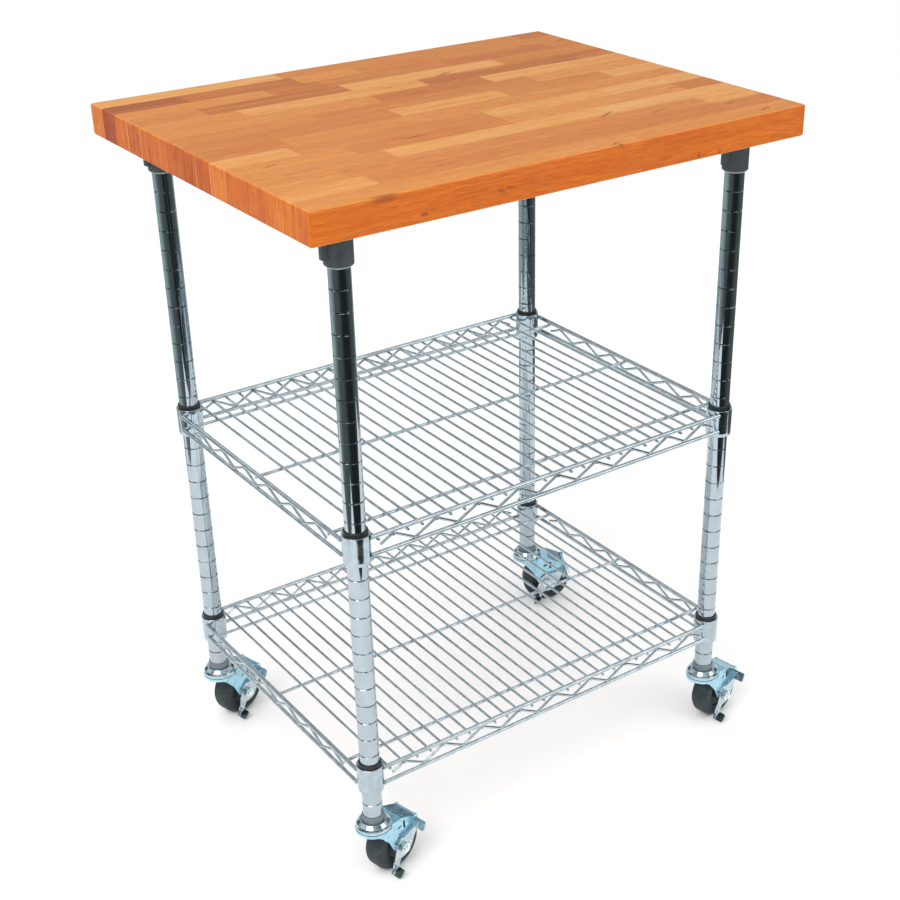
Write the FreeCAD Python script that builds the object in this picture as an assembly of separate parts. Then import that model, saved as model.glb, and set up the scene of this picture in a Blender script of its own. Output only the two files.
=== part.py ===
import FreeCAD, Part
import math
import os

# Kitchen island cart: a butcher-block top on four grooved posts, two wire
# shelves wedged on the posts with split sleeves, and four braked casters.
# Millimetres. +X along the long side, +Y to the back, +Z up.
# Origin: on the floor, under the middle of the tabletop.

Vector = FreeCAD.Vector

# ---- overall ----
HEIGHT = 914.4
TOP_LENGTH = 685.8
TOP_WIDTH = 533.4
TOP_THICK = 38.1
TOP_EDGE_R = 2.5
TOP_UNDER_Z = HEIGHT - TOP_THICK
FIT = 0.05                    # radial play of pieces that slide or turn in each other
GAP = 0.3                     # air between faces that pass each other

# ---- posts ----
POST_SPAN_X = 565.0
POST_SPAN_Y = 428.0
POST_R = 12.7
POST_BORE_R = 11.2
POST_BOTTOM_Z = 103.0
POST_TOP_Z = TOP_UNDER_Z - 4.0
GROOVE_PITCH = 25.4
GROOVE_COUNT = 28
GROOVE_TOP_Z = 808.0
GROOVE_DEPTH = 0.6
GROOVE_WIDTH = 1.8

# ---- sockets under the tabletop ----
SOCKET_R = 16.5
SOCKET_BOTTOM_Z = GROOVE_TOP_Z + GROOVE_PITCH
FLANGE_R = 31.0
FLANGE_THICK = 4.0
LIP_R = 14.4                  # pale lip round the post under the cup
LIP_H = 1.3
EAR_REACH = 21.5
EAR_WIDTH = 12.0
EAR_RISE = 8.5                # the ear starts this far above the cup's lower edge
SCREW_CIRCLE_R = 24.0
SCREW_R = 2.1
SCREW_LENGTH = 26.0
SCREW_HEAD_R = 3.9
SCREW_HEAD_H = 2.4

# ---- wire shelves ----
SHELF_TOPS = {"upper": 510.8, "lower": 510.8 - 13 * GROOVE_PITCH}
COLLAR_H = 38.0
COLLAR_TOP_R = 17.2
COLLAR_LOW_R = 16.5
SLEEVE_TOP_R = 14.6
SLEEVE_LOW_R = 15.2
SLEEVE_PROUD = 5.0
SLEEVE_SLOT = 1.0
RIM_DROP = 4.9                # top rim wire below the collar's top
RIM_SPACING = 23.5            # bottom rim wire below the top one
SIDE_RIM_DROP = 8.2           # the short sides' top wires lie on the cross wires' ends
RIM_R = 3.0
RIM_LOW_R = 2.75
RIM_OUT_X = 15.0              # rim wires outside the post centres
RIM_OUT_Y = 12.5
RIM_END_X = 12.0              # where the wires meet the collars
RIM_END_Y = 9.5
ZIGZAG_PITCH = 60.0
ZIGZAG_R = 1.8
ZIGZAG_BEND_R = 5.0
ZIGZAG_BITE = 0.9             # how far its bends sink into the rim wires
LONG_SNAKE_HALF = 258.0
SHORT_SNAKE_HALF = 172.0
DECK_WIRE_R = 1.8
DECK_WIRE_COUNT = 27
DECK_PITCH = 20.1
SUPPORT_R = 2.3
SUPPORT_YS = (-177.0, 0.0, 177.0)
WELD = 0.3                    # how far welded wires sink into each other

# ---- casters, built trailing towards +X with the swivel axis on Z ----
CORNERS = {
    "front_left": (-1, -1, 13.5),
    "front_right": (1, -1, 10.0),
    "back_left": (-1, 1, 15.0),
    "back_right": (1, 1, -30.0),
}
WHEEL_R = 37.5
WHEEL_WIDTH = 29.0
TRAIL = 30.0
HUB_R = 23.5
HUB_WIDTH = 31.4
AXLE_R = 4.0
PIN_R = 5.0                   # king pin, one piece with the stem
CAP_R = 23.1
CAP_TOP_Z = 94.0
CAP_LOW_Z = 82.3
CAP_WALL = 2.4
CAP_SEAT_DEPTH = 1.0          # the foot ring sits in a shallow recess of the cap
RING_R = 14.3
STEM_TOP_Z = 128.0
PLATE_TOP_Z = 82.0
PLATE_THICK = 2.5
PLATE_RIM_LOW_Z = 77.4
TAIL_BEND_X = 32.0            # behind this the plate slopes down over the wheel
TAIL_END_X = 54.5
TAIL_END_Z = 72.0
TAIL_THICK = 2.2
LEG_INSIDE_Y = 16.0
LEG_THICK = 2.3
LEG_OUTSIDE_Y = LEG_INSIDE_Y + LEG_THICK
BALL_COUNT = 14
BALL_R = 2.5
BALL_CIRCLE_R = 17.5
SHOE_INNER_R = 40.0
SHOE_THICK = 1.6
SHOE_HALF_WIDTH = 14.0
SHOE_FROM_DEG = 16.0
SHOE_TO_DEG = 47.0
SHOE_BARREL_R = 2.4
SHOE_PIN_R = 1.2
SHOE_PIN_X = 58.4
SHOE_PIN_Z = 68.9
PEDAL_INNER_Y = LEG_OUTSIDE_Y + GAP
PEDAL_THICK = 2.4
PEDAL_OUTER_Y = PEDAL_INNER_Y + PEDAL_THICK
FLANGE_LIFT = 2.0             # folded edge of the pedal plate
PAD_OUTER_Y = 33.5
PAD_THICK = 2.2
PADS = (((56.2, 52.0), (60.6, 64.2)), ((9.4, 3.6), (18.8, 12.4)))
PAD_CORNER_R = 2.5
RIDGE_H = 0.5                 # grip ridges on the pads
RIDGE_W = 1.2
RIDGE_SHARES = (0.25, 0.5, 0.75)
NUT_ACROSS = 13.0
NUT_H = 5.0
BOLT_END = 3.0                # bolt proud of its nut and of its head


# ---- helpers ----
def outline(corners, place):
    """Closed wire through (u, v, corner radius) points; place(u, v) sets each in space."""
    stations = []
    for i, (u, v, radius) in enumerate(corners):
        before = corners[i - 1]
        after = corners[(i + 1) % len(corners)]
        here = Vector(u, v, 0)
        back = (Vector(before[0], before[1], 0) - here).normalize()
        ahead = (Vector(after[0], after[1], 0) - here).normalize()
        if radius == 0:
            stations.append((here, None, here))
            continue
        half = back.getAngle(ahead) / 2
        reach = radius / math.tan(half)
        bisector = (back + ahead).normalize()
        middle = here + bisector * (radius / math.sin(half) - radius)
        stations.append((here + back * reach, middle, here + ahead * reach))
    edges = []
    for i, (start, middle, end) in enumerate(stations):
        following = stations[(i + 1) % len(stations)][0]
        if middle is not None:
            arc = Part.Arc(place(start), place(middle), place(end))
            edges.append(arc.toShape())
        if (following - end).Length > 1e-6:
            edges.append(Part.makeLine(place(end), place(following)))
    return Part.Wire(edges)


def turned(corners):
    """Solid of revolution about Z from (radius, z, corner radius) points."""
    wire = outline(corners, lambda p: Vector(p.x, 0, p.y))
    return Part.Face(wire).revolve(Vector(0, 0, 0), Vector(0, 0, 1), 360)


def upright_plate(corners, y_from, thick):
    """Flat plate in the XZ plane, from y_from towards +Y."""
    wire = outline(corners, lambda p: Vector(p.x, y_from, p.y))
    return Part.Face(wire).extrude(Vector(0, thick, 0))


def flat_plate(corners, z_from, thick):
    """Flat plate in the XY plane, from z_from upwards."""
    wire = outline(corners, lambda p: Vector(p.x, p.y, z_from))
    return Part.Face(wire).extrude(Vector(0, 0, thick))


def rod(radius, start, end):
    """Straight wire with softened ends."""
    way = end - start
    body = Part.makeCylinder(radius, way.Length, start, way)
    rims = [e for e in body.Edges if isinstance(e.Curve, Part.Circle)]
    return body.makeFillet(radius * 0.4, rims)


def cylinder_y(radius, x, z, y_from, y_to):
    return Part.makeCylinder(radius, y_to - y_from, Vector(x, y_from, z), Vector(0, 1, 0))


def hexagon_y(across, x, z, y_from, y_to):
    corner_r = across / math.sqrt(3)
    points = []
    for i in range(7):
        turn = math.radians(60 * i)
        points.append(Vector(x + corner_r * math.cos(turn), y_from, z + corner_r * math.sin(turn)))
    return Part.Face(Part.makePolygon(points)).extrude(Vector(0, y_to - y_from, 0))


def post_centre(corner):
    side_x, side_y, _ = CORNERS[corner]
    return Vector(side_x * POST_SPAN_X / 2, side_y * POST_SPAN_Y / 2, 0)


def at_post(shape, corner):
    moved = shape.copy()
    moved.translate(post_centre(corner))
    return moved


def at_caster(shape, corner):
    moved = shape.copy()
    moved.rotate(Vector(0, 0, 0), Vector(0, 0, 1), CORNERS[corner][2])
    moved.translate(post_centre(corner))
    return moved


def save(name, shape):
    shape.exportStep("parts/" + name + ".step")


def save_group(name, solids):
    save(name, Part.makeCompound(solids))


# ---- tabletop, sockets and posts ----
def screw_points():
    points = []
    for i in range(4):
        turn = math.radians(45 + 90 * i)
        points.append(Vector(SCREW_CIRCLE_R * math.cos(turn), SCREW_CIRCLE_R * math.sin(turn), 0))
    return points


def tabletop():
    corner = Vector(-TOP_LENGTH / 2, -TOP_WIDTH / 2, TOP_UNDER_Z)
    slab = Part.makeBox(TOP_LENGTH, TOP_WIDTH, TOP_THICK, corner)
    slab = slab.makeFillet(TOP_EDGE_R, slab.Edges)
    holes = []
    depth = SCREW_LENGTH - FLANGE_THICK + 1.0
    for name in CORNERS:
        for point in screw_points():
            start = post_centre(name) + point + Vector(0, 0, TOP_UNDER_Z - 1.0)
            holes.append(Part.makeCylinder(SCREW_R + FIT, depth + 1.0, start))
    return slab.cut(Part.makeCompound(holes))


def socket():
    """Moulded cup over the post's top end, with a screwed flange and one stiffening ear."""
    flange_z = TOP_UNDER_Z - FLANGE_THICK
    cup = turned([
        (0, SOCKET_BOTTOM_Z - LIP_H, 0), (LIP_R, SOCKET_BOTTOM_Z - LIP_H, 0.5),
        (LIP_R, SOCKET_BOTTOM_Z, 0), (SOCKET_R, SOCKET_BOTTOM_Z, 1.6), (SOCKET_R, flange_z, 1.5),
        (FLANGE_R, flange_z, 1.0), (FLANGE_R, TOP_UNDER_Z, 0), (0, TOP_UNDER_Z, 0)])
    half = EAR_WIDTH / 2
    ear = flat_plate([
        (-EAR_REACH, -half, 4.0), (0, -half, 0), (0, half, 0), (-EAR_REACH, half, 4.0)],
        SOCKET_BOTTOM_Z + EAR_RISE, flange_z - SOCKET_BOTTOM_Z - EAR_RISE)
    bore_z = SOCKET_BOTTOM_Z - LIP_H - 1.0
    bore = Part.makeCylinder(POST_R + FIT, POST_TOP_Z + FIT - bore_z, Vector(0, 0, bore_z))
    holes = [bore]
    for point in screw_points():
        start = point + Vector(0, 0, flange_z - 1.0)
        holes.append(Part.makeCylinder(SCREW_R + FIT, FLANGE_THICK + 2.0, start))
    return cup.fuse(ear).cut(Part.makeCompound(holes)).removeSplitter()


def socket_screws():
    head_z = TOP_UNDER_Z - FLANGE_THICK - SCREW_HEAD_H
    top_z = head_z + SCREW_HEAD_H + SCREW_LENGTH
    one = turned([
        (0, head_z, 0), (SCREW_HEAD_R, head_z, 1.2), (SCREW_HEAD_R, head_z + SCREW_HEAD_H, 0),
        (SCREW_R, head_z + SCREW_HEAD_H, 0), (SCREW_R, top_z - 4.0, 0), (0, top_z, 0)])
    solids = []
    for name in CORNERS:
        for point in screw_points():
            moved = one.copy()
            moved.translate(point)
            solids.append(at_post(moved, name))
    return solids


def post():
    """Steel tube with a ring groove every inch, where shelf sleeves snap on."""
    profile = [(POST_BORE_R, POST_BOTTOM_Z, 0), (POST_R, POST_BOTTOM_Z, 0)]
    for i in reversed(range(GROOVE_COUNT)):
        z = GROOVE_TOP_Z - i * GROOVE_PITCH
        profile += [
            (POST_R, z - GROOVE_WIDTH / 2, 0), (POST_R - GROOVE_DEPTH, z - GROOVE_WIDTH / 5, 0),
            (POST_R - GROOVE_DEPTH, z + GROOVE_WIDTH / 5, 0), (POST_R, z + GROOVE_WIDTH / 2, 0)]
    profile += [(POST_R, POST_TOP_Z, 0), (POST_BORE_R, POST_TOP_Z, 0)]
    return turned(profile)


# ---- wire shelves ----
def collar(top_z):
    low_z = top_z - COLLAR_H
    return turned([
        (SLEEVE_LOW_R + FIT, low_z, 0), (COLLAR_LOW_R, low_z, 1.0), (COLLAR_TOP_R - 0.3, low_z + 5.0, 3.0),
        (COLLAR_TOP_R, top_z, 0.8), (SLEEVE_TOP_R + FIT, top_z, 0)])


def sleeve_halves(top_z):
    """Tapered plastic sleeve in two halves, with a ridge that sits in a post groove."""
    low_z = top_z - COLLAR_H
    bore = POST_R + FIT
    ridge_z = GROOVE_TOP_Z - math.ceil((GROOVE_TOP_Z - top_z) / GROOVE_PITCH) * GROOVE_PITCH
    whole = turned([
        (bore, low_z, 0), (SLEEVE_LOW_R, low_z, 0), (SLEEVE_TOP_R, top_z, 0),
        (SLEEVE_TOP_R + 0.4, top_z + 1.0, 0), (SLEEVE_TOP_R, top_z + SLEEVE_PROUD, 0.8),
        (bore, top_z + SLEEVE_PROUD, 0), (bore, ridge_z + 0.5, 0), (bore - 0.35, ridge_z + 0.2, 0),
        (bore - 0.35, ridge_z - 0.2, 0), (bore, ridge_z - 0.5, 0)])
    reach = 2 * SLEEVE_LOW_R
    halves = []
    for side in (-1, 1):
        start_x = SLEEVE_SLOT / 2 if side > 0 else -SLEEVE_SLOT / 2 - reach
        block = Part.makeBox(reach, 2 * reach, COLLAR_H + 40, Vector(start_x, -reach, low_z - 10))
        halves.append(whole.common(block).Solids[0])
    return halves


def snake(along, ends, peak_at_middle, low_z, high_z):
    """Zigzag wire between the rim wires; along(distance, z) gives a point of its line."""
    half_pitch = ZIGZAG_PITCH / 2
    count = int(ends // half_pitch)
    corners = []
    for i in range(-count, count + 1):
        is_peak = (i % 2 == 0) == peak_at_middle
        corners.append((i * half_pitch, high_z if is_peak else low_z))
    slope = (corners[1][1] - corners[0][1]) / half_pitch
    spare = ends - count * half_pitch
    first = (-ends, corners[0][1] + slope * spare)
    last = (ends, corners[-1][1] + slope * spare)
    route = [first] + corners + [last]
    edges = []
    here = Vector(route[0][0], route[0][1], 0)
    for i in range(1, len(route) - 1):
        point = Vector(route[i][0], route[i][1], 0)
        back = (Vector(route[i - 1][0], route[i - 1][1], 0) - point).normalize()
        ahead = (Vector(route[i + 1][0], route[i + 1][1], 0) - point).normalize()
        half = back.getAngle(ahead) / 2
        reach = ZIGZAG_BEND_R / math.tan(half)
        bisector = (back + ahead).normalize()
        middle = point + bisector * (ZIGZAG_BEND_R / math.sin(half) - ZIGZAG_BEND_R)
        start = point + back * reach
        end = point + ahead * reach
        edges.append(Part.makeLine(along(here), along(start)))
        edges.append(Part.Arc(along(start), along(middle), along(end)).toShape())
        here = end
    edges.append(Part.makeLine(along(here), along(Vector(route[-1][0], route[-1][1], 0))))
    path = Part.Wire(edges)
    start = path.OrderedVertexes[0].Point
    tangent = (path.OrderedVertexes[1].Point - start).normalize()
    ring = Part.Wire(Part.makeCircle(ZIGZAG_R, start, tangent))
    return path.makePipeShell([ring], True, True)


def truss(along, half_length, rim_z, low_z, snake_half, peak_at_middle):
    """One side of a shelf's rim: top wire, bottom wire and the zigzag welded between them."""
    ends = [Vector(side * half_length, 0, 0) for side in (-1, 1)]
    top_wire = Part.makeCylinder(
        RIM_R, 2 * half_length, along(ends[0] + Vector(0, rim_z, 0)),
        along(ends[1] + Vector(0, rim_z, 0)) - along(ends[0] + Vector(0, rim_z, 0)))
    low_wire = Part.makeCylinder(
        RIM_LOW_R, 2 * half_length, along(ends[0] + Vector(0, low_z, 0)),
        along(ends[1] + Vector(0, low_z, 0)) - along(ends[0] + Vector(0, low_z, 0)))
    peak = rim_z - RIM_R - ZIGZAG_R + ZIGZAG_BITE
    valley = low_z + RIM_LOW_R + ZIGZAG_R - ZIGZAG_BITE
    zigzag = snake(along, snake_half, peak_at_middle, valley, peak)
    return top_wire.fuse([low_wire, zigzag])


def long_truss(side, top_z):
    y = side * (POST_SPAN_Y / 2 + RIM_OUT_Y)
    half = POST_SPAN_X / 2 - RIM_END_X
    rim_z = top_z - RIM_DROP
    return truss(lambda p: Vector(p.x, y, p.y), half, rim_z, rim_z - RIM_SPACING, LONG_SNAKE_HALF, True)


def short_truss(side, top_z):
    x = side * (POST_SPAN_X / 2 + RIM_OUT_X)
    half = POST_SPAN_Y / 2 - RIM_END_Y
    low_z = top_z - RIM_DROP - RIM_SPACING
    return truss(lambda p: Vector(x, p.x, p.y), half, top_z - SIDE_RIM_DROP, low_z, SHORT_SNAKE_HALF, False)


def deck(top_z):
    """Deck wires front to back under the rim wires, on three cross wires."""
    wire_z = top_z - RIM_DROP - RIM_R - DECK_WIRE_R + WELD
    support_z = wire_z - DECK_WIRE_R - SUPPORT_R + WELD
    reach_y = POST_SPAN_Y / 2 + RIM_OUT_Y + RIM_R + 0.5
    reach_x = POST_SPAN_X / 2 + RIM_OUT_X + 1.5
    wires = []
    for i in range(DECK_WIRE_COUNT):
        x = (i - (DECK_WIRE_COUNT - 1) / 2) * DECK_PITCH
        wires.append(rod(DECK_WIRE_R, Vector(x, -reach_y, wire_z), Vector(x, reach_y, wire_z)))
    for y in SUPPORT_YS:
        wires.append(rod(SUPPORT_R, Vector(-reach_x, y, support_z), Vector(reach_x, y, support_z)))
    return wires[0].fuse(wires[1:])


def save_shelf(level, top_z):
    label = level + "_shelf_"
    save(label + "deck", deck(top_z))
    save(label + "front_truss", long_truss(-1, top_z))
    save(label + "back_truss", long_truss(1, top_z))
    save(label + "left_truss", short_truss(-1, top_z))
    save(label + "right_truss", short_truss(1, top_z))
    save_group(label + "collars", [at_post(collar(top_z), name) for name in CORNERS])
    halves = []
    for name in CORNERS:
        halves += [at_post(half, name) for half in sleeve_halves(top_z)]
    save_group(label + "sleeves", halves)


# ---- casters ----
def post_insert():
    """Threaded plug pressed in the post's bottom end."""
    return turned([
        (PIN_R + FIT, POST_BOTTOM_Z, 0), (POST_BORE_R - FIT, POST_BOTTOM_Z, 0),
        (POST_BORE_R - FIT, POST_BOTTOM_Z + 30.0, 1.0), (PIN_R + FIT, POST_BOTTOM_Z + 30.0, 0)])


def post_ring():
    """Grey foot ring between the post and the caster's cap."""
    seat_z = CAP_TOP_Z - CAP_SEAT_DEPTH
    return turned([
        (PIN_R + FIT, seat_z, 0), (RING_R, seat_z, 0.5), (RING_R, POST_BOTTOM_Z, 1.2),
        (PIN_R + FIT, POST_BOTTOM_Z, 0)])


def caster_stem():
    """Stem, domed cap and king pin with its riveted head: all fixed to the post."""
    rivet_top = PLATE_TOP_Z - PLATE_THICK - GAP
    seat_z = CAP_TOP_Z - CAP_SEAT_DEPTH
    seat_r = RING_R + 1.0
    ceiling = PLATE_TOP_Z + 2 * BALL_R + GAP
    inner_r = CAP_R - CAP_WALL
    return turned([
        (0, STEM_TOP_Z, 0), (PIN_R, STEM_TOP_Z, 0.8), (PIN_R, seat_z, 0), (seat_r, seat_z, 0),
        (seat_r, CAP_TOP_Z, 0.3), (seat_r + 2.0, CAP_TOP_Z, 1.0), (CAP_R - 1.6, CAP_TOP_Z - 4.5, 2.5),
        (CAP_R - 0.9, CAP_TOP_Z - 6.0, 0.5), (CAP_R, CAP_TOP_Z - 7.5, 1.0), (CAP_R, CAP_LOW_Z, 0.6),
        (inner_r, CAP_LOW_Z, 0.6), (inner_r, ceiling, 1.5), (10.0, ceiling, 1.0),
        (10.0, PLATE_TOP_Z + GAP, 0), (PIN_R, PLATE_TOP_Z + GAP, 0), (PIN_R, rivet_top, 0),
        (8.0, rivet_top, 0.5), (6.5, rivet_top - 4.0, 1.5), (0, rivet_top - 4.0, 0)])


def ball_race():
    balls = []
    for i in range(BALL_COUNT):
        turn = 2 * math.pi * i / BALL_COUNT
        centre = Vector(BALL_CIRCLE_R * math.cos(turn), BALL_CIRCLE_R * math.sin(turn), PLATE_TOP_Z + BALL_R)
        balls.append(Part.makeSphere(BALL_R, centre))
    return balls


def fork():
    """Pressed fork: round race plate with a folded rim, a tail sloping over the wheel, two legs."""
    low = PLATE_TOP_Z - PLATE_THICK
    disc = Part.makeCylinder(CAP_R + 0.5, PLATE_THICK, Vector(0, 0, low))
    rim = turned([
        (CAP_R - 1.7, PLATE_RIM_LOW_Z, 0.6), (CAP_R + 0.5, PLATE_RIM_LOW_Z, 0.6),
        (CAP_R + 0.5, PLATE_TOP_Z - 0.2, 0), (CAP_R - 1.7, PLATE_TOP_Z - 0.2, 0)])
    side = upright_plate([
        (0, low, 0), (TAIL_BEND_X - 1.0, low, 4.0), (TAIL_END_X, TAIL_END_Z - TAIL_THICK, 0),
        (TAIL_END_X + 0.8, TAIL_END_Z, 0), (TAIL_BEND_X, PLATE_TOP_Z, 6.0), (0, PLATE_TOP_Z, 0)],
        -LEG_OUTSIDE_Y, 2 * LEG_OUTSIDE_Y)
    plan = flat_plate([
        (-1, -LEG_OUTSIDE_Y - 1, 0), (TAIL_END_X + 2, -LEG_OUTSIDE_Y - 1, 4.0),
        (TAIL_END_X + 2, LEG_OUTSIDE_Y + 1, 7.0), (-1, LEG_OUTSIDE_Y + 1, 0)], 60.0, 30.0)
    leg = [
        (-13.0, PLATE_TOP_Z - 0.5, 0), (-13.0, 77.6, 1.0), (-3.0, 69.5, 10.0), (9.0, 55.0, 12.0),
        (20.0, 29.0, 7.5), (39.5, 27.5, 8.5), (49.0, 50.0, 14.0), (62.0, 63.0, 3.4), (62.0, 72.3, 3.4),
        (TAIL_END_X, TAIL_END_Z - 0.3, 0), (TAIL_BEND_X, PLATE_TOP_Z - 0.5, 0)]
    right_leg = upright_plate(leg, -LEG_OUTSIDE_Y, LEG_THICK)
    left_leg = upright_plate(leg, LEG_INSIDE_Y, LEG_THICK)
    body = disc.fuse([side.common(plan), rim, right_leg, left_leg])
    reach = LEG_OUTSIDE_Y + 5
    slot = upright_plate([(35.2, 63.0, 1.4), (38.4, 63.0, 1.4), (37.6, 75.6, 1.4), (34.4, 75.6, 1.4)],
                         -reach, reach)
    notch = upright_plate([(25.4, 66.2, 1.0), (31.2, 69.4, 1.0), (30.2, 71.6, 1.0), (24.4, 68.4, 1.0)],
                          -reach, reach)
    cuts = [
        Part.makeCylinder(PIN_R + FIT, 20, Vector(0, 0, low - 10)),
        cylinder_y(AXLE_R + 0.03, TRAIL, WHEEL_R, -reach, reach),
        cylinder_y(SHOE_PIN_R + FIT, SHOE_PIN_X, SHOE_PIN_Z, -reach, reach), slot, notch]
    return body.cut(Part.makeCompound(cuts)).removeSplitter()


def brake_shoe():
    """Curved plate behind the wheel's upper rear quarter, hung on a cross pin."""
    outer_r = SHOE_INNER_R + SHOE_THICK

    def on_arc(radius, degrees):
        turn = math.radians(degrees)
        return Vector(TRAIL + radius * math.cos(turn), -SHOE_HALF_WIDTH, WHEEL_R + radius * math.sin(turn))

    middle = (SHOE_FROM_DEG + SHOE_TO_DEG) / 2
    inner = [on_arc(SHOE_INNER_R, a) for a in (SHOE_FROM_DEG, middle, SHOE_TO_DEG)]
    outer = [on_arc(outer_r, a) for a in (SHOE_TO_DEG, middle, SHOE_FROM_DEG)]
    wire = Part.Wire([
        Part.Arc(*inner).toShape(), Part.makeLine(inner[2], outer[0]),
        Part.Arc(*outer).toShape(), Part.makeLine(outer[2], inner[0])])
    plate = Part.Face(wire).extrude(Vector(0, 2 * SHOE_HALF_WIDTH, 0))
    barrel = cylinder_y(SHOE_BARREL_R, SHOE_PIN_X, SHOE_PIN_Z, -SHOE_HALF_WIDTH, SHOE_HALF_WIDTH)
    pin_hole = cylinder_y(SHOE_PIN_R + FIT, SHOE_PIN_X, SHOE_PIN_Z, -20, 20)
    slots = []
    for y in (-9.0, 3.0):
        slots.append(Part.makeBox(20.0, 6.0, 3.5, Vector(58.0, y, 54.0)))
    return plate.fuse(barrel).cut(Part.makeCompound([pin_hole] + slots)).removeSplitter()


def caster_fasteners():
    """Axle bolt, its nut, and the shoe's cross pin."""
    head_y = -(PEDAL_OUTER_Y + GAP)
    nut_y = LEG_OUTSIDE_Y + NUT_H
    bolt = cylinder_y(AXLE_R, TRAIL, WHEEL_R, head_y - NUT_H - BOLT_END, nut_y + BOLT_END)
    bolt = bolt.fuse(hexagon_y(NUT_ACROSS, TRAIL, WHEEL_R, head_y - NUT_H, head_y)).removeSplitter()
    nut = hexagon_y(NUT_ACROSS, TRAIL, WHEEL_R, LEG_OUTSIDE_Y, nut_y)
    nut = nut.cut(cylinder_y(AXLE_R + 0.02, TRAIL, WHEEL_R, 0, 60))
    pin = cylinder_y(SHOE_PIN_R, SHOE_PIN_X, SHOE_PIN_Z, -LEG_OUTSIDE_Y, LEG_OUTSIDE_Y)
    return [bolt, nut, pin]


def wheel_pieces():
    """Soft tyre and the hard core that turns on the axle."""
    half = WHEEL_WIDTH / 2
    tyre = turned([
        (HUB_R, -half + 1.0, 0), (HUB_R + 4.0, -half, 1.5), (WHEEL_R, -half, 8.0),
        (WHEEL_R, half, 8.0), (HUB_R + 4.0, half, 1.5), (HUB_R, half - 1.0, 0)])
    boss = HUB_WIDTH / 2
    web = half - 5.0
    hub = turned([
        (AXLE_R + FIT, -boss, 0), (8.5, -boss, 0.8), (9.5, -web, 1.0), (HUB_R - 3.0, -web, 1.5),
        (HUB_R - 2.0, -half + 1.0, 0.5), (HUB_R - FIT, -half + 1.0, 0), (HUB_R - FIT, half - 1.0, 0),
        (HUB_R - 2.0, half - 1.0, 0.5), (HUB_R - 3.0, web, 1.5), (9.5, web, 1.0), (8.5, boss, 0.8),
        (AXLE_R + FIT, boss, 0)])
    for piece in (tyre, hub):
        piece.rotate(Vector(0, 0, 0), Vector(1, 0, 0), 90)
        piece.translate(Vector(TRAIL, 0, WHEEL_R))
    return tyre, hub


def pedal_pad(start, end):
    """Foot pad folded outward from the pedal plate along a line, with three grip ridges."""
    length = math.dist(start, end)
    pad = flat_plate([
        (0, -PAD_OUTER_Y, PAD_CORNER_R), (length, -PAD_OUTER_Y, PAD_CORNER_R),
        (length, -PEDAL_INNER_Y, 0), (0, -PEDAL_INNER_Y, 0)], -PAD_THICK / 2, PAD_THICK)
    ridge_length = PAD_OUTER_Y - PEDAL_OUTER_Y - 2 * PAD_CORNER_R
    ridges = [
        Part.makeBox(RIDGE_W, ridge_length, RIDGE_H + WELD, Vector(
            length * share - RIDGE_W / 2, PAD_CORNER_R - PAD_OUTER_Y, PAD_THICK / 2 - WELD))
        for share in RIDGE_SHARES]
    pad = pad.fuse(ridges)
    slope = math.degrees(math.atan2(end[1] - start[1], end[0] - start[0]))
    pad.rotate(Vector(0, 0, 0), Vector(0, 1, 0), -slope)
    pad.translate(Vector(start[0], 0, start[1]))
    return pad


def brake_pedal():
    """Rocker plate on the axle bolt with two foot pads: one presses the brake on, one frees it."""
    plate = upright_plate([
        (60.6, 64.6, 1.5), (43.0, 56.5, 8.0), (28.0, 53.0, 6.0), (20.5, 46.0, 6.0), (15.5, 31.0, 8.0),
        (12.5, 12.0, 3.0), (8.6, 4.4, 1.0), (10.2, 2.8, 0.8), (21.0, 9.6, 3.0), (25.5, 21.0, 3.0),
        (33.0, 21.5, 4.0), (42.5, 25.0, 8.0), (56.0, 50.6, 1.5)], -PEDAL_OUTER_Y, PEDAL_THICK)
    flange = upright_plate([
        (58.0, 63.2, 0), (43.0, 56.5, 8.0), (30.0, 53.4, 0), (30.4, 51.8, 0), (43.4, 54.9, 8.0),
        (58.6, 61.7, 0)], -PEDAL_OUTER_Y - FLANGE_LIFT, FLANGE_LIFT + 0.5)
    hole = cylinder_y(AXLE_R + FIT, TRAIL, WHEEL_R, -60, 0)
    pads = [pedal_pad(start, end) for start, end in PADS]
    return plate.fuse([flange] + pads).cut(hole).removeSplitter()


def save_casters():
    tyre, hub = wheel_pieces()
    single = {
        "stem": caster_stem(), "fork": fork(), "brake_shoe": brake_shoe(),
        "tyre": tyre, "wheel_hub": hub, "brake_pedal": brake_pedal()}
    groups = {"ball_race": ball_race(), "fasteners": caster_fasteners()}
    for corner in CORNERS:
        for name, shape in single.items():
            save(corner + "_caster_" + name, at_caster(shape, corner))
        for name, solids in groups.items():
            save_group(corner + "_caster_" + name, [at_caster(solid, corner) for solid in solids])


def main():
    os.makedirs("parts", exist_ok=True)
    save("tabletop", tabletop())
    one_socket = socket()
    one_post = post()
    for corner in CORNERS:
        save("socket_" + corner, at_post(one_socket, corner))
        save("post_" + corner, at_post(one_post, corner))
    save_group("socket_screws", socket_screws())
    for level, top_z in SHELF_TOPS.items():
        save_shelf(level, top_z)
    save_group("post_inserts", [at_post(post_insert(), name) for name in CORNERS])
    save_group("post_rings", [at_post(post_ring(), name) for name in CORNERS])
    save_casters()


main()
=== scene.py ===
"""Looks of the rolling kitchen cart: a stave-built cherry top, chrome posts and wire shelves,
zinc casters with side brakes, on a plain pale floor in soft studio light. Metres throughout."""

import math
import random

import bmesh
import bpy
from mathutils import Matrix, Vector

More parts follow.
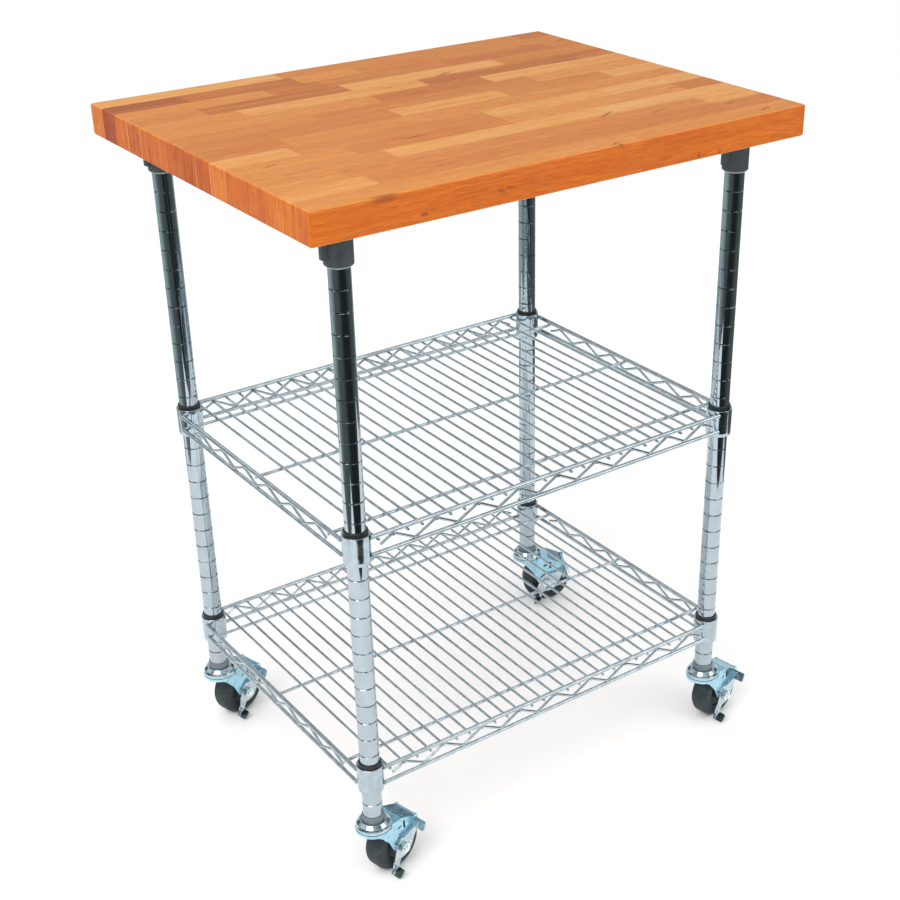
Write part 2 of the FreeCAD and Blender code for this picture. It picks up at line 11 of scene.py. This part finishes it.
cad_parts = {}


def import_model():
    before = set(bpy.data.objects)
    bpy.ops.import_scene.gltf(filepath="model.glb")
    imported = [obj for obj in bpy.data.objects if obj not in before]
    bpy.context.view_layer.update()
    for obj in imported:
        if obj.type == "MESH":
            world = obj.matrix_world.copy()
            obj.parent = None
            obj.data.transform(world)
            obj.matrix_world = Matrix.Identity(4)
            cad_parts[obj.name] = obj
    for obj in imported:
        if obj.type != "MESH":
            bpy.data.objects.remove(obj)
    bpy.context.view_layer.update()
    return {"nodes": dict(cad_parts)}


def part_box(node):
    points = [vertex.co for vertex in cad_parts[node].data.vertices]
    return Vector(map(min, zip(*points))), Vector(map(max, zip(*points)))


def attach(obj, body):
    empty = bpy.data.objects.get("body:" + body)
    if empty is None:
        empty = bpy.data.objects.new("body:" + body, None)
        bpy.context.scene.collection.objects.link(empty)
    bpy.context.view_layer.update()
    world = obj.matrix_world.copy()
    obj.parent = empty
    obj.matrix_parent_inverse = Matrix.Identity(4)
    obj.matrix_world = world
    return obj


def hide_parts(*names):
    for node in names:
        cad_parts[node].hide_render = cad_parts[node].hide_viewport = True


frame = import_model()
CORNERS = ("front_left", "front_right", "back_left", "back_right")
SHELVES = ("upper_shelf", "lower_shelf")
POST_HALF_X, POST_HALF_Y = 0.2825, 0.2140
GROOVE_PITCH, GROOVE_TOP_Z = 0.0254, 0.808
# Height of the socket's rim under its cup; below it a highlight is painted in pale grey
SOCKET_LIP_Z = 0.8337
# Each caster's side of the cart in x and y, and which way it trails, in degrees
CASTERS = {
    "front_left": (-1, -1, 13.5), "front_right": (1, -1, 10.0),
    "back_left": (-1, 1, 15.0), "back_right": (1, 1, -30.0),
}

# --- camera --------------------------------------------------------------------------------
CAMERA_PLACE = Vector((-1.0443, -1.5604, 1.3841))
CAMERA_AZIMUTH, CAMERA_ELEVATION, CAMERA_ROLL = -36.183, 28.673, -0.331
CAMERA_LENS = 61.83
CAMERA_SHIFT = (-0.0698, 0.0626)

# --- tabletop ------------------------------------------------------------------------------
TOP_ROWS = 15
TOP_EDGE_ROUND = 0.0025
GLUE_HALF = 0.00016
RING_WIDTH = 0.0030
PITH_HEIGHT = 0.8954                 # half way up the slab
# Dice lay the staves: their lengths, and their tones from 1 pale to 4 deep, by how often each turns up
STAVE_SEED = 11
STAVE_LENGTHS = (0.07, 0.30)
STAVE_SHORTEST = 0.05
STAVE_TONES = (1, 1, 2, 2, 2, 3, 3, 3, 4)
TONE_STRAY = 0.3
# One red-brown stave lies at the left end of the second row from the back; the front row is even
DARK_ROW, DARK_LENGTH, DARK_TONE = TOP_ROWS - 2, 0.10, 5.0
FRONT_TONE = 2.0
# Gum pockets and pin knots are scattered by dice too: how many, half length and half width, tilt
MARK_SEED = 5
TOP_MARKS, FRONT_MARKS = 12, 6
TOP_MARK_REACH, FRONT_MARK_REACH = (0.004, 0.020), (0.003, 0.006)
MARK_WIDTHS = (0.0015, 0.0032)
MARK_TILTS = (-0.15, 0.50)


# --- material building -----------------------------------------------------------------------
class Shader:
    """A node material: nodes are made by short calls, and values or sockets feed them."""

    def __init__(self, name):
        self.mat = bpy.data.materials.new(name)
        self.mat.use_nodes = True
        self.tree = self.mat.node_tree
        self.surface = self.tree.nodes["Principled BSDF"]

    def feed(self, socket, value):
        if isinstance(value, bpy.types.NodeSocket):
            self.tree.links.new(value, socket)
        elif value is not None:
            socket.default_value = value

    def node(self, kind, *inputs, **settings):
        made = self.tree.nodes.new("ShaderNode" + kind)
        for key, value in settings.items():
            setattr(made, key, value)
        for socket, value in zip(made.inputs, inputs):
            self.feed(socket, value)
        return made

    def place(self):
        return self.node("TexCoord").outputs["Object"]

    def facing(self):
        return self.node("TexCoord").outputs["Normal"]

    def axis(self, vector, letter):
        return self.node("SeparateXYZ", vector).outputs[letter]

    def math(self, operation, a, b=None, c=None, clamp=False):
        return self.node("Math", a, b, c, operation=operation, use_clamp=clamp).outputs[0]

    def vector(self, operation, a, b=None):
        return self.node("VectorMath", a, b, operation=operation).outputs[0]

    def stretched(self, vector, scale):
        return self.vector("MULTIPLY", vector, scale)

    def noise(self, vector, scale=1.0, detail=2.0, roughness=0.5, distortion=0.0):
        made = self.node("TexNoise")
        for name, value in (("Vector", vector), ("Scale", scale), ("Detail", detail),
                            ("Roughness", roughness), ("Distortion", distortion)):
            self.feed(made.inputs[name], value)
        return made.outputs["Fac"]

    def spread(self, value, low, high, to_low=0.0, to_high=1.0):
        made = self.node("MapRange")
        made.interpolation_type = "SMOOTHSTEP"
        for name, entry in (("Value", value), ("From Min", low), ("From Max", high),
                            ("To Min", to_low), ("To Max", to_high)):
            self.feed(made.inputs[name], entry)
        return made.outputs["Result"]

    def ramp(self, value, stops):
        made = self.node("ValToRGB", value)
        ramp = made.color_ramp
        while len(ramp.elements) < len(stops):
            ramp.elements.new(0.5)
        for element, (position, colour) in zip(ramp.elements, stops):
            element.position = position
            element.color = (*colour, 1.0)
        return made.outputs["Color"]

    def mix(self, factor, a, b, blend="MIX"):
        made = self.node("Mix", data_type="RGBA", blend_type=blend)
        self.feed(made.inputs["Factor"], factor)
        colours = [socket for socket in made.inputs if socket.type == "RGBA"]
        for socket, value in zip(colours, (a, b)):
            self.feed(socket, value if not isinstance(value, tuple) else (*value, 1.0))
        return next(output for output in made.outputs if output.type == "RGBA")

    def bump(self, height, strength, distance):
        made = self.node("Bump")
        for name, value in (("Height", height), ("Strength", strength), ("Distance", distance)):
            self.feed(made.inputs[name], value)
        self.feed(self.surface.inputs["Normal"], made.outputs["Normal"])

    def finish(self, colour, roughness, **settings):
        self.feed(self.surface.inputs["Base Color"],
                  (*colour, 1.0) if isinstance(colour, tuple) else colour)
        self.feed(self.surface.inputs["Roughness"], roughness)
        for name, value in settings.items():
            self.feed(self.surface.inputs[name.replace("_", " ")], value)
        return self.mat


def linear(red, green, blue):
    """An 8-bit screen colour as linear light."""
    return tuple(
        v / 12.92 if v <= 0.04045 else ((v + 0.055) / 1.055) ** 2.4
        for v in (red / 255, green / 255, blue / 255)
    )


def cherry_wood():
    """Oiled cherry staves: growth rings round each stave's own pith, fibres along X, glue lines."""
    low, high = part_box("tabletop")
    s = Shader("cherry_staves")
    place = s.place()
    pith = s.node("Attribute", attribute_name="stave_pith").outputs["Vector"]
    tone = s.node("Attribute", attribute_name="stave_tone").outputs["Fac"]
    glue = s.node("Attribute", attribute_name="stave_glue").outputs["Fac"]
    end = s.node("Attribute", attribute_name="stave_end").outputs["Fac"]
    x, y, z = (s.axis(place, letter) for letter in "XYZ")
    shift, pith_y, pith_z = (s.axis(pith, letter) for letter in "XYZ")
    along = s.math("ADD", x, shift)
    own = s.node("CombineXYZ", along, s.math("SUBTRACT", y, pith_y),
                 s.math("SUBTRACT", z, pith_z)).outputs[0]

    wander = s.noise(s.stretched(own, (2.2, 9.0, 9.0)), 1.0, 2.0)
    ripple = s.noise(s.stretched(own, (9.0, 40.0, 40.0)), 1.0, 2.0)
    radius = s.math("POWER", s.math("ADD", s.math("POWER", s.axis(own, "Y"), 2.0),
                                    s.math("POWER", s.axis(own, "Z"), 2.0)), 0.5)
    radius = s.math("MULTIPLY_ADD", wander, 0.030, radius)
    radius = s.math("MULTIPLY_ADD", ripple, 0.0035, radius)
    ring = s.math("FRACT", s.math("DIVIDE", radius, RING_WIDTH))
    ring = s.math("MULTIPLY", s.spread(ring, 0.05, 0.92), s.spread(ring, 1.0, 0.93))

    fibre = s.noise(s.stretched(own, (16.0, 620.0, 620.0)), 1.0, 3.0, 0.6)
    fine = s.noise(s.stretched(own, (60.0, 1700.0, 1700.0)), 1.0, 2.0, 0.5)
    cloud = s.noise(s.stretched(own, (5.0, 34.0, 34.0)), 1.0, 3.0, 0.55)
    streak = s.noise(s.stretched(own, (1.6, 95.0, 95.0)), 1.0, 2.0)
    fleck = s.noise(s.stretched(own, (24.0, 260.0, 260.0)), 1.0, 2.0)

    shade = s.math("MULTIPLY_ADD", tone, 0.18, s.math("MULTIPLY_ADD", cloud, 0.30, -0.15))
    shade = s.math("MULTIPLY_ADD", ring, 0.13, shade)
    shade = s.math("MULTIPLY_ADD", s.math("SUBTRACT", fibre, 0.5), 0.52, shade)
    shade = s.math("MULTIPLY_ADD", s.math("SUBTRACT", streak, 0.5), 0.36, shade)
    shade = s.math("MULTIPLY_ADD", end, s.math("MULTIPLY_ADD", ring, 0.24, -0.02), shade)
    stripe = s.noise(s.stretched(own, (1.0, 330.0, 14.0)), 1.0, 2.0)
    stripe = s.math("MULTIPLY", s.math("SUBTRACT", stripe, 0.5), 1.25)
    shade = s.math("MULTIPLY_ADD", end, stripe, shade)
    colour = s.ramp(shade, (
        (0.00, linear(227, 172, 104)), (0.22, linear(220, 151, 76)), (0.42, linear(210, 133, 58)),
        (0.62, linear(201, 121, 49)), (0.82, linear(191, 109, 42)), (1.00, linear(158, 80, 34)),
    ))
    pores = s.spread(fine, 0.36, 0.62, 0.80, 1.05)
    colour = s.mix(1.0, colour, s.node("CombineXYZ", pores, pores, pores).outputs[0], "MULTIPLY")
    # Painted shade: faces that point neither up nor down (the slab's front, back and ends) are multiplied
    # to a deeper, more orange colour than the top.
    side = s.spread(s.math("ABSOLUTE", s.axis(s.facing(), "Z")), 0.75, 0.25)
    colour = s.mix(side, colour, s.mix(1.0, colour, (0.88, 0.53, 0.15), "MULTIPLY"))
    gum = s.spread(fleck, 0.62, 0.76, 0.0, 0.50)
    colour = s.mix(gum, colour, linear(150, 76, 40))

    dice = random.Random(MARK_SEED)
    marks = scatter_marks(dice, TOP_MARKS, high.x, (low.y, high.y), TOP_MARK_REACH)
    marks = [knot_mask(s, x, y, mark) for mark in marks]
    top_marks = s.math("MULTIPLY", highest(s, marks), s.spread(z, 0.905, 0.912))
    depth = s.math("SUBTRACT", high.z, z)
    marks = scatter_marks(dice, FRONT_MARKS, high.x, (0.0, high.z - low.z), FRONT_MARK_REACH)
    marks = [knot_mask(s, x, depth, mark) for mark in marks]
    front_marks = s.math("MULTIPLY", highest(s, marks), s.spread(y, -0.262, -0.2655))
    knots = s.math("MAXIMUM", top_marks, front_marks)
    knots = s.math("MULTIPLY", knots, s.spread(fibre, 0.30, 0.62, 0.35, 1.0))
    colour = s.mix(s.math("MULTIPLY", knots, 0.75), colour, linear(116, 52, 28))
    colour = s.mix(s.math("MULTIPLY", glue, 0.45), colour, linear(120, 62, 34))
    border = s.math("FRACT", s.math("MULTIPLY_ADD", y, TOP_ROWS / (high.y - low.y), TOP_ROWS / 2))
    border = s.spread(s.math("ABSOLUTE", s.math("SUBTRACT", border, 0.5)), 0.462, 0.494)
    some = s.spread(s.noise(s.node("CombineXYZ", 0.0, y, 0.0).outputs[0], 11.0, 0.0), 0.42, 0.58)
    border = s.math("MULTIPLY", s.math("MULTIPLY", border, some), s.math("MULTIPLY", end, 0.5))
    colour = s.mix(border, colour, linear(240, 176, 98))

    height = s.math("MULTIPLY_ADD", fine, 0.5, s.math("MULTIPLY_ADD", ring, -0.4, fibre))
    height = s.math("MULTIPLY_ADD", glue, -1.2, height)
    s.bump(height, 0.10, 0.00025)
    rough = s.spread(cloud, 0.3, 0.7, 0.34, 0.46)
    return s.finish(colour, s.math("MULTIPLY_ADD", knots, 0.15, rough), Specular_IOR_Level=0.30)


def scatter_marks(dice, count, half_across, rises, reaches):
    """Marks on a face of the top: place across and up, half length, half width and tilt."""
    return [(dice.uniform(-half_across, half_across), dice.uniform(*rises), dice.uniform(*reaches),
             dice.uniform(*MARK_WIDTHS), dice.uniform(*MARK_TILTS)) for _ in range(count)]


def knot_mask(s, across, up, mark):
    """1 inside a spindle-shaped mark, 0 outside; across and up are the face's own directions."""
    x, y, long, wide, turn = mark
    dx = s.math("SUBTRACT", across, x)
    dy = s.math("SUBTRACT", up, y)
    u = s.math("MULTIPLY_ADD", dx, math.cos(turn), s.math("MULTIPLY", dy, math.sin(turn)))
    v = s.math("MULTIPLY_ADD", dy, math.cos(turn), s.math("MULTIPLY", dx, -math.sin(turn)))
    u = s.math("POWER", s.math("ABSOLUTE", s.math("MULTIPLY", u, 1 / long)), 2.0)
    v = s.math("POWER", s.math("ABSOLUTE", s.math("MULTIPLY", v, 1 / wide)), 2.0)
    return s.spread(s.math("ADD", u, v), 1.25, 0.15)


def highest(s, values):
    top = values[0]
    for value in values[1:]:
        top = s.math("MAXIMUM", top, value)
    return top


def metal(name, tint, roughness, blotch=0.10, mottle_scale=60.0, grain=0.03, grain_scale=900.0):
    """Plated metal: base tint with cloudy variation, and fine unevenness in gloss and bump."""
    s = Shader(name)
    place = s.place()
    cloud = s.noise(place, mottle_scale, 3.0, 0.55)
    fine = s.noise(place, grain_scale, 2.0, 0.5)
    low = tuple(v * (1 - blotch) for v in tint)
    high = tuple(min(1.0, v * (1 + blotch)) for v in tint)
    colour = s.mix(s.spread(cloud, 0.3, 0.7), low, high)
    rough = s.spread(cloud, 0.25, 0.75, roughness * 0.8, roughness * 1.25)
    s.bump(s.math("MULTIPLY_ADD", fine, 0.6, cloud), grain, 0.0002)
    return s.finish(colour, rough, Metallic=1.0)


def grooved_chrome():
    """Chromed post: the ring grooves, one an inch, carry painted shade in broken stretches round the
    post.
    """
    s = Shader("chrome_post")
    place = s.place()
    cloud = s.noise(place, 45.0, 2.0)
    step = s.math("MULTIPLY_ADD", s.axis(place, "Z"), 1 / GROOVE_PITCH, 0.5 - GROOVE_TOP_Z / GROOVE_PITCH)
    step = s.math("FRACT", step)
    ring = s.spread(s.math("ABSOLUTE", s.math("SUBTRACT", step, 0.5)), 0.046, 0.032)
    colour = s.mix(s.spread(cloud, 0.3, 0.7), (0.400, 0.470, 0.520), (0.440, 0.512, 0.562))
    # Painted shade in the grooves: the ring mask, broken up round the post, mixes the colour towards
    # near-black.
    broken = s.spread(s.noise(place, 210.0, 1.0), 0.40, 0.52)
    dark = s.math("MULTIPLY", s.math("MULTIPLY", ring, broken), 0.88)
    colour = s.mix(dark, colour, (0.05, 0.06, 0.065))
    fine = s.noise(s.stretched(place, (900.0, 900.0, 60.0)), 1.0, 2.0)
    s.bump(fine, 0.006, 0.0002)
    return s.finish(colour, s.math("MULTIPLY_ADD", ring, 0.12, 0.055), Metallic=1.0)


def plastic(name, colour, roughness, grain=0.25, grain_scale=1400.0, lighter=1.25):
    """Moulded plastic or rubber: a slightly uneven colour over a fine moulded grain."""
    s = Shader(name)
    place = s.place()
    cloud = s.noise(place, 70.0, 3.0, 0.6)
    fine = s.noise(place, grain_scale, 2.0, 0.5)
    high = tuple(min(1.0, v * lighter) for v in colour)
    tint = s.mix(s.spread(cloud, 0.25, 0.75), colour, high)
    s.bump(fine, grain, 0.0002)
    return s.finish(tint, s.spread(cloud, 0.3, 0.7, roughness * 0.88, roughness * 1.12))


def lipped_socket():
    """Moulded socket in dark grey, with a painted highlight on the rim under its cup."""
    s = Shader("socket_plastic")
    place = s.place()
    cloud, fine = s.noise(place, 70.0, 3.0, 0.6), s.noise(place, 1400.0, 2.0, 0.5)
    tint = s.mix(s.spread(cloud, 0.25, 0.75), linear(56, 65, 69), linear(66, 75, 79))
    # Painted highlight: below SOCKET_LIP_Z the rim under the cup is coloured pale grey.
    painted_rim_highlight = s.spread(s.axis(place, "Z"), SOCKET_LIP_Z, SOCKET_LIP_Z - 0.0003)
    tint = s.mix(painted_rim_highlight, tint, linear(168, 175, 178))
    s.bump(fine, 0.25, 0.0002)
    return s.finish(tint, s.spread(cloud, 0.3, 0.7, 0.37, 0.47))


def pedal_zinc(corner):
    """Bright pedal plate with crisp speckled gloss; its lower pad is darker than the upper one."""
    sign_x, sign_y, yaw = CASTERS[corner]
    turn = math.radians(yaw)
    s = Shader(f"pedal_zinc_{corner}")
    place = s.place()
    x = s.math("SUBTRACT", s.axis(place, "X"), sign_x * POST_HALF_X)
    y = s.math("SUBTRACT", s.axis(place, "Y"), sign_y * POST_HALF_Y)
    across = s.math("MULTIPLY_ADD", y, math.cos(turn), s.math("MULTIPLY", x, -math.sin(turn)))
    pad = s.spread(across, -0.0232, -0.0240)
    low = s.spread(s.axis(place, "Z"), 0.022, 0.016)
    cloud = s.noise(place, 260.0, 3.0, 0.6)
    speck = s.noise(place, 700.0, 2.0, 0.6)
    colour = s.mix(s.spread(cloud, 0.3, 0.7), linear(176, 194, 204), linear(214, 226, 232))
    colour = s.mix(s.spread(speck, 0.55, 0.68), colour, linear(120, 138, 150))
    pads = s.mix(low, linear(168, 190, 198), linear(84, 98, 98))
    colour = s.mix(pad, colour, pads)
    s.bump(s.math("MULTIPLY_ADD", speck, 0.5, cloud), 0.22, 0.0003)
    return s.finish(colour, s.spread(speck, 0.35, 0.65, 0.08, 0.22), Metallic=1.0)


def worn_tyre():
    """Rubber tread: dust-grey scuffs round the running band over dark grey rubber."""
    s = Shader("tyre_rubber")
    place = s.place()
    scuff = s.noise(place, 120.0, 4.0, 0.65)
    fine = s.noise(place, 1500.0, 2.0, 0.5)
    colour = s.mix(s.spread(scuff, 0.45, 0.75), linear(30, 41, 45), linear(54, 70, 75))
    s.bump(s.math("MULTIPLY_ADD", scuff, 0.6, fine), 0.30, 0.0003)
    return s.finish(colour, s.spread(scuff, 0.3, 0.7, 0.52, 0.72))


# --- tabletop --------------------------------------------------------------------------------
def stave_top(material):
    """One closed slab, cut into the faces of its staves so that each has its own grain."""
    low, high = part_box("tabletop")
    size, centre = high - low, (high + low) / 2
    mesh = bpy.data.meshes.new("tabletop_staves")
    bm = bmesh.new()
    block = Matrix.Translation(centre) @ Matrix.Diagonal((*size, 1.0))
    bmesh.ops.create_cube(bm, size=1.0, matrix=block)
    bmesh.ops.bevel(bm, geom=list(bm.edges), offset=TOP_EDGE_ROUND, segments=4, profile=0.5,
                    affect="EDGES")
    pitch = size.y / TOP_ROWS

    def row_of(y):
        return min(TOP_ROWS - 1, max(0, int((y - low.y) / pitch)))

    def cut(faces, point, normal):
        verts, edges = {v for f in faces for v in f.verts}, {e for f in faces for e in f.edges}
        bmesh.ops.bisect_plane(bm, geom=[*faces, *edges, *verts], dist=1e-6, plane_co=point,
                               plane_no=normal)

    for row in range(1, TOP_ROWS):
        for side in (-GLUE_HALF, GLUE_HALF):
            cut(list(bm.faces), (0, low.y + row * pitch + side, 0), (0, 1, 0))
    rows = lay_staves(low, high, pitch)
    for row, staves in enumerate(rows):
        for right, _, _ in staves[:-1]:
            for side in (-GLUE_HALF, GLUE_HALF):
                inner = (low.y + row * pitch + 2 * GLUE_HALF, low.y + (row + 1) * pitch - 2 * GLUE_HALF)
                own = [f for f in bm.faces if row_of(f.calc_center_median().y) == row
                       and (inner[0] < f.calc_center_median().y < inner[1] or row in (0, TOP_ROWS - 1))]
                cut(own, (right + side, 0, 0), (1, 0, 0))

    layers = {
        "tone": bm.faces.layers.float.new("stave_tone"),
        "glue": bm.faces.layers.float.new("stave_glue"),
        "end": bm.faces.layers.float.new("stave_end"),
        "pith": bm.faces.layers.float_vector.new("stave_pith"),
    }
    for face in bm.faces:
        middle = face.calc_center_median()
        row = row_of(middle.y)
        stave = next((f for f in rows[row] if middle.x < f[0]), rows[row][-1])
        borders = [low.y + k * pitch for k in range(1, TOP_ROWS)]
        near_row = min(abs(middle.y - b) for b in borders) < GLUE_HALF
        near_joint = any(abs(middle.x - f[0]) < GLUE_HALF for f in rows[row][:-1])
        face[layers["tone"]] = stave[1]
        face[layers["glue"]] = 1.0 if near_row or near_joint else 0.0
        face[layers["end"]] = 1.0 if abs(face.normal.x) > 0.7 else 0.0
        face[layers["pith"]] = stave[2]
        face.smooth = True
    bm.to_mesh(mesh)
    bm.free()
    mesh.materials.append(material)
    top = bpy.data.objects.new("tabletop_staves", mesh)
    bpy.context.scene.collection.objects.link(top)
    weighted = top.modifiers.new("flat_faces", "WEIGHTED_NORMAL")
    weighted.weight = 100
    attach(top, "root")
    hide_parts("tabletop")
    top.visible_glossy = False


def lay_staves(low, high, pitch):
    """Each row's staves from left to right: right end, tone and the centre of the rings."""
    dice = random.Random(STAVE_SEED)
    rows = []
    for row in range(TOP_ROWS):
        staves, right = [], low.x
        while right < high.x:
            dark = row == DARK_ROW and not staves
            right += DARK_LENGTH if dark else dice.uniform(*STAVE_LENGTHS)
            if high.x - right < STAVE_SHORTEST:
                right = high.x
            tone = dice.choice(STAVE_TONES) + dice.uniform(-TONE_STRAY, TONE_STRAY)
            if row == 0 or dark:
                tone = DARK_TONE if dark else FRONT_TONE
            staves.append((right, tone, stave_pith(dice, low, pitch, row)))
        rows.append(staves)
    return rows


def stave_pith(dice, low, pitch, row):
    """Where a stave's growth rings are centred: well to one side, so that they stand upright."""
    side = dice.choice((-1, 1))
    return Vector((dice.uniform(0, 40.0),
                   low.y + (row + 0.5) * pitch + side * dice.uniform(0.05, 0.14),
                   PITH_HEIGHT + dice.uniform(-0.05, 0.05)))


# --- materials of the CAD nodes --------------------------------------------------------------
def dress(nodes, material):
    for name in nodes:
        for slot in frame["nodes"][name].material_slots:
            slot.material = material


def dress_frame():
    post = grooved_chrome()
    wire = metal("chrome_wire", (0.53, 0.60, 0.635), 0.045, 0.14, 90.0)
    collar = metal("chrome_collar", (0.42, 0.50, 0.555), 0.09, 0.10, 120.0, 0.05, 500.0)
    socket = lipped_socket()
    sleeve = plastic("sleeve_plastic", (0.012, 0.013, 0.014), 0.38)
    ring = plastic("ring_plastic", linear(98, 108, 113), 0.42)
    screws = metal("zinc_screws", (0.62, 0.63, 0.62), 0.32)
    dress([f"post_{c}" for c in CORNERS], post)
    dress([f"socket_{c}" for c in CORNERS], socket)
    dress(["socket_screws", "post_inserts"], screws)
    dress(["post_rings"], ring)
    for shelf in SHELVES:
        dress([f"{shelf}_{side}_truss" for side in ("front", "back", "left", "right")], wire)
        dress([f"{shelf}_deck"], wire)
        dress([f"{shelf}_collars"], collar)
        dress([f"{shelf}_sleeves"], sleeve)


def dress_casters():
    bright = metal("bright_zinc", (0.47, 0.60, 0.66), 0.13, 0.15, 150.0, 0.08)
    blue = metal("blue_zinc", (0.37, 0.64, 0.77), 0.20, 0.14, 110.0, 0.10)
    bolt = metal("bolt_zinc", (0.78, 0.89, 0.93), 0.32, 0.14, 200.0, 0.06)
    tyre = worn_tyre()
    hub = plastic("hub_plastic", linear(34, 38, 42), 0.48)
    for corner in CORNERS:
        name = corner + "_caster_"
        dress([name + p for p in ("stem", "ball_race")], bright)
        dress([name + "fasteners"], bolt)
        dress([name + p for p in ("fork", "brake_shoe")], blue)
        dress([name + "brake_pedal"], pedal_zinc(corner))
        dress([name + "tyre"], tyre)
        dress([name + "wheel_hub"], hub)


# --- stage -----------------------------------------------------------------------------------
def plane(name, corners, material):
    mesh = bpy.data.meshes.new(name)
    mesh.from_pydata([Vector(c) for c in corners], [], [tuple(range(len(corners)))])
    mesh.materials.append(material)
    made = bpy.data.objects.new(name, mesh)
    bpy.context.scene.collection.objects.link(made)
    return made


def reflected_surround():
    """Dim studio round the pale floor, seen only in reflections: it darkens the upper posts."""
    left, right, front, back, far, height = -1.15, 1.05, -0.97, 1.0, 6.0, 0.001
    inner = ((left, front, height), (right, front, height), (right, back, height), (left, back, height))
    outer = ((-far, -far, height), (far, -far, height), (far, far, height), (-far, far, height))
    s = Shader("surround")
    s.tree.nodes.clear()
    place = s.place()
    away = s.vector("NORMALIZE", place)
    x, y = s.axis(away, "X"), s.axis(away, "Y")
    strength = s.spread(y, -0.2, 0.95, 0.030, 0.60)
    strength = s.math("ADD", strength, s.spread(x, -0.45, -0.95, 0.0, 0.11))
    strength = s.math("ADD", strength, s.spread(x, 0.10, 0.90, 0.0, 0.11))
    light = s.node("Emission", (0.86, 1.0, 0.96, 1.0), strength)
    s.node("OutputMaterial", light.outputs[0])
    mesh = bpy.data.meshes.new("surround")
    mesh.from_pydata([*inner, *outer], [], [
        (4, 5, 1, 0), (5, 6, 2, 1), (6, 7, 3, 2), (7, 4, 0, 3)])
    mesh.materials.append(s.mat)
    card = bpy.data.objects.new("surround", mesh)
    bpy.context.scene.collection.objects.link(card)
    card.visible_camera = card.visible_diffuse = card.visible_shadow = False
    card.visible_transmission = card.visible_volume_scatter = False


def floor():
    s = Shader("pale_floor")
    cloud = s.noise(s.place(), 1.5, 2.0)
    colour = s.mix(cloud, (0.980, 0.982, 0.984), (0.990, 0.991, 0.992))
    material = s.finish(colour, 0.9, Specular_IOR_Level=0.0)
    far = 14.0
    plane("floor", ((-far, -far, 0), (far, -far, 0), (far, far, 0), (-far, far, 0)), material)


def area_light(name, place, target, size, power, colour=(1.0, 1.0, 1.0)):
    data = bpy.data.lights.new(name, "AREA")
    data.shape = "RECTANGLE"
    data.size, data.size_y = size
    data.energy = power
    data.color = colour
    lamp = bpy.data.objects.new(name, data)
    bpy.context.scene.collection.objects.link(lamp)
    lamp.location = place
    lamp.rotation_euler = (Vector(target) - Vector(place)).to_track_quat("-Z", "Y").to_euler()


def world():
    """White to the eye and to matt surfaces; a graded room of greys in reflections."""
    made = bpy.data.worlds.new("studio")
    bpy.context.scene.world = made
    made.use_nodes = True
    tree = made.node_tree
    nodes, links = tree.nodes, tree.links
    nodes.clear()
    where = nodes.new("ShaderNodeTexCoord")
    split = nodes.new("ShaderNodeSeparateXYZ")
    ramp = nodes.new("ShaderNodeValToRGB")
    stops = ((0.0, 0.05), (0.20, 0.05), (0.32, 0.60), (0.44, 0.92), (0.56, 0.85), (0.66, 0.14),
             (0.80, 1.0), (1.0, 0.55))
    while len(ramp.color_ramp.elements) < len(stops):
        ramp.color_ramp.elements.new(0.5)
    for element, (position, grey) in zip(ramp.color_ramp.elements, stops):
        element.position = position
        element.color = (grey * 0.96, grey, grey * 1.03, 1.0)
    path = nodes.new("ShaderNodeLightPath")
    mirrored = nodes.new("ShaderNodeBackground")
    plain = nodes.new("ShaderNodeBackground")
    plain.inputs["Color"].default_value = (1.0, 1.0, 1.0, 1.0)
    plain.inputs["Strength"].default_value = 1.0
    mirrored.inputs["Strength"].default_value = 1.0
    choose = nodes.new("ShaderNodeMixShader")
    out = nodes.new("ShaderNodeOutputWorld")
    links.new(where.outputs["Generated"], split.inputs[0])
    links.new(split.outputs["Z"], ramp.inputs[0])
    links.new(ramp.outputs[0], mirrored.inputs["Color"])
    links.new(path.outputs["Is Glossy Ray"], choose.inputs[0])
    links.new(plain.outputs[0], choose.inputs[1])
    links.new(mirrored.outputs[0], choose.inputs[2])
    links.new(choose.outputs[0], out.inputs["Surface"])


def camera():
    azimuth, elevation, roll = map(math.radians, (CAMERA_AZIMUTH, CAMERA_ELEVATION, CAMERA_ROLL))
    back = Vector((math.sin(azimuth) * math.cos(elevation), -math.cos(azimuth) * math.cos(elevation),
                   math.sin(elevation)))
    right = Vector((math.cos(azimuth), math.sin(azimuth), 0.0))
    up = back.cross(right)
    right, up = (right * math.cos(roll) + up * math.sin(roll),
                 up * math.cos(roll) - right * math.sin(roll))
    data = bpy.data.cameras.new("camera")
    data.lens = CAMERA_LENS
    data.shift_x, data.shift_y = CAMERA_SHIFT
    made = bpy.data.objects.new("camera", data)
    bpy.context.scene.collection.objects.link(made)
    turn = Matrix((right, up, back)).transposed().to_4x4()
    made.matrix_world = Matrix.Translation(CAMERA_PLACE) @ turn
    bpy.context.scene.camera = made


def studio():
    floor()
    reflected_surround()
    world()
    area_light("key", (-2.2, -1.2, 3.0), (0, 0, 0.6), (2.2, 1.6), 55.0, (1.0, 0.985, 0.96))
    area_light("fill", (1.8, -2.6, 1.6), (0, 0, 0.5), (1.6, 1.6), 12.0, (0.93, 0.97, 1.0))
    camera()
    scene = bpy.context.scene
    scene.view_settings.view_transform = "Standard"


stave_top(cherry_wood())
dress_frame()
dress_casters()
studio()
